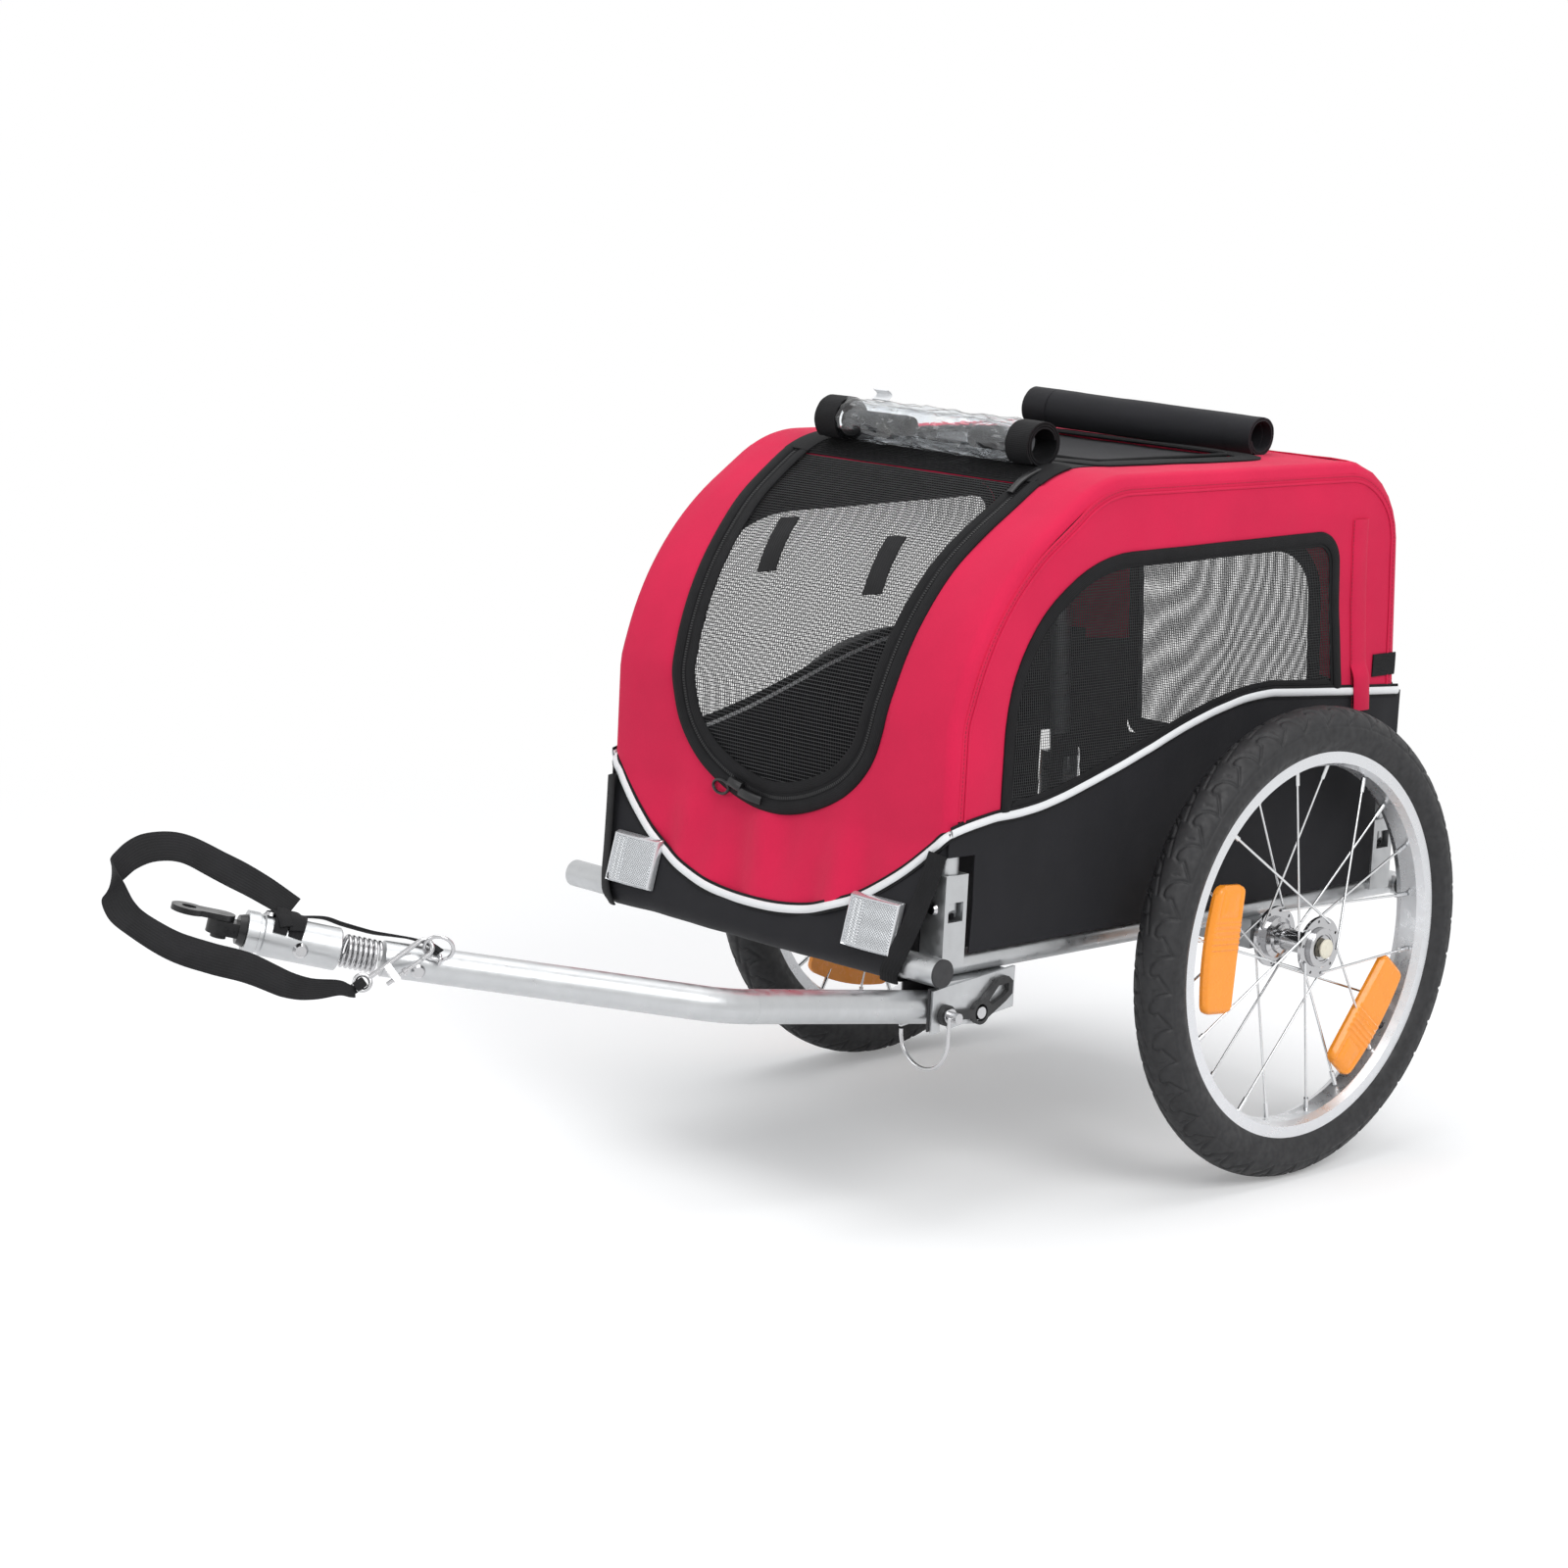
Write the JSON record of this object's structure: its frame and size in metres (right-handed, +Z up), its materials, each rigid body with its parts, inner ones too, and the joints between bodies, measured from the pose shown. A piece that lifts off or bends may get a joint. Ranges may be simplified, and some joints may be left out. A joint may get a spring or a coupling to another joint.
{
  "type": "bike trailer",
  "caption": "Folding two-wheel dog bike trailer with a red and black fabric cabin, mesh front door and side windows, spoked wheels and a spring hitch drawbar.",
  "frame": {"origin": "middle of the footprint on the ground", "axes": "+Z up, drawbar towards -Y, left side of the trailer at +X"},
  "size_m": [0.5328, 1.2116, 0.6164],
  "materials": {
    "frame_metal": "satin",
    "beam_metal": "satin",
    "bright_steel": "polished",
    "rim_metal": "satin",
    "black_metal": "satin",
    "black_plastic": "matte",
    "button_plastic": "gloss",
    "tyre_rubber": "matte",
    "black_rubber": "matte",
    "red_fabric": "woven",
    "black_fabric": "woven",
    "mesh_fabric": "mesh",
    "strap_webbing": "webbing",
    "clear_sheet": "clear",
    "amber_reflector": "gloss",
    "red_reflector": "gloss",
    "clear_reflector": "gloss"
  },
  "bodies": {
    "frame": {"front_cross_tube": "frame_metal", "rear_cross_tube": "frame_metal", "left_side_tube": "frame_metal", "right_side_tube": "frame_metal", "axle_beam": "beam_metal", "tube_end_caps": "black_plastic", "left_hinge_posts": "frame_metal", "right_hinge_posts": "frame_metal", "hinge_screws": "bright_steel", "axles": "bright_steel", "hub_bearings": "bright_steel", "floor_board": "black_fabric", "front_skirt": "black_fabric", "front_panel": "red_fabric", "roof_panel": "red_fabric", "rear_panel": "red_fabric", "left_side_panel": "red_fabric", "right_side_panel": "red_fabric", "window_meshes": "mesh_fabric", "clear_cover_roll": "clear_sheet", "black_cover_roll": "black_fabric", "flag_sleeve": "red_fabric", "front_reflectors": "clear_reflector", "rear_reflectors": "red_reflector", "drawbar_bracket": "frame_metal", "bracket_liner": "black_plastic", "fold_bolt": "bright_steel"},
    "left_wheel": {"left_hub": "bright_steel", "left_spokes": "bright_steel", "left_rim": "rim_metal", "left_tyre": "tyre_rubber", "left_inner_tube": "black_rubber", "left_reflectors": "amber_reflector"},
    "right_wheel": {"right_hub": "bright_steel", "right_spokes": "bright_steel", "right_rim": "rim_metal", "right_tyre": "tyre_rubber", "right_inner_tube": "black_rubber", "right_reflectors": "amber_reflector"},
    "left_button": {"left_axle_button": "button_plastic"},
    "right_button": {"right_axle_button": "button_plastic"},
    "left_fold": {"left_hoop": "frame_metal"},
    "right_fold": {"right_hoop": "frame_metal"},
    "door": {"front_door": "mesh_fabric"},
    "pin": {"lock_pin": "bright_steel"},
    "bow": {"pin_bow": "bright_steel"},
    "drawbar": {"drawbar_tube": "frame_metal", "pin_tether": "black_rubber", "drawbar_ring": "bright_steel", "snap_hook": "bright_steel"},
    "gate": {"snap_gate": "bright_steel"},
    "coupler": {"coupler_sleeve": "frame_metal", "coupler_screws": "bright_steel", "hitch_spring": "bright_steel", "safety_strap": "strap_webbing"},
    "stud": {"hitch_stud": "black_metal"},
    "plate": {"hitch_plate": "black_metal"}
  },
  "joints": [
    {"name": "left_wheel_spin", "type": "hinge", "parent": "frame", "child": "left_wheel", "pos_m": [0.237, 0.3983, 0.195], "axis": [1, 0, 0], "continuous": true},
    {"name": "right_wheel_spin", "type": "hinge", "parent": "frame", "child": "right_wheel", "pos_m": [-0.237, 0.3983, 0.195], "axis": [1, 0, 0], "continuous": true},
    {"name": "left_axle_button", "type": "slide", "parent": "frame", "child": "left_button", "axis": [-1, 0, 0], "range_m": [0, 0.0025], "stiffness_N_per_m": 1500, "springref_m": -0.001},
    {"name": "right_axle_button", "type": "slide", "parent": "frame", "child": "right_button", "axis": [1, 0, 0], "range_m": [0, 0.0025], "stiffness_N_per_m": 1500, "springref_m": -0.001},
    {"name": "left_side_fold", "type": "hinge", "parent": "frame", "child": "left_fold", "pos_m": [0.178, 0.2983, 0.256], "axis": [0, -1, 0], "range_deg": [0, 90]},
    {"name": "right_side_fold", "type": "hinge", "parent": "frame", "child": "right_fold", "pos_m": [-0.178, 0.2983, 0.256], "axis": [0, 1, 0], "range_deg": [0, 80]},
    {"name": "front_door", "type": "hinge", "parent": "frame", "child": "door", "pos_m": [0, 0.1593, 0.569], "axis": [1, 0, 0], "range_deg": [-100, 0]},
    {"name": "drawbar_fold", "type": "hinge", "parent": "frame", "child": "drawbar", "pos_m": [0.178, 0.0613, 0.1753], "axis": [1, 0, 0], "range_deg": [0, 150]},
    {"name": "lock_pin", "type": "slide", "parent": "drawbar", "child": "pin", "axis": [1, 0, 0], "range_m": [0, 0.045]},
    {"name": "pin_bow", "type": "hinge", "parent": "pin", "child": "bow", "pos_m": [0.207, 0.0243, 0.178], "axis": [0, -1, 0], "range_deg": [0, 150]},
    {"name": "hitch_flex", "type": "hinge", "parent": "drawbar", "child": "coupler", "pos_m": [0.05544, -0.42261, 0.25459], "axis": [0.1029, 0.1904, 0.9763], "range_deg": [-15, 15], "stiffness_Nm_per_rad": 12, "deforming": ["hitch_spring", "safety_strap"]},
    {"name": "hitch_swivel", "type": "hinge", "parent": "coupler", "child": "stud", "pos_m": [0.01737, -0.49303, 0.27234], "axis": [-0.4644, -0.8588, 0.2164], "range_deg": [-90, 90]},
    {"name": "hitch_plate_pivot", "type": "hinge", "parent": "stud", "child": "plate", "pos_m": [0.00947, -0.50763, 0.27602], "axis": [0.1029, 0.1904, 0.9763], "range_deg": [-60, 60]},
    {"name": "snap_gate", "type": "slide", "parent": "drawbar", "child": "gate", "axis": [-0.2543, -0.7991, -0.5448], "range_m": [0, 0.0035], "stiffness_N_per_m": 300, "springref_m": -0.002}
  ]
}
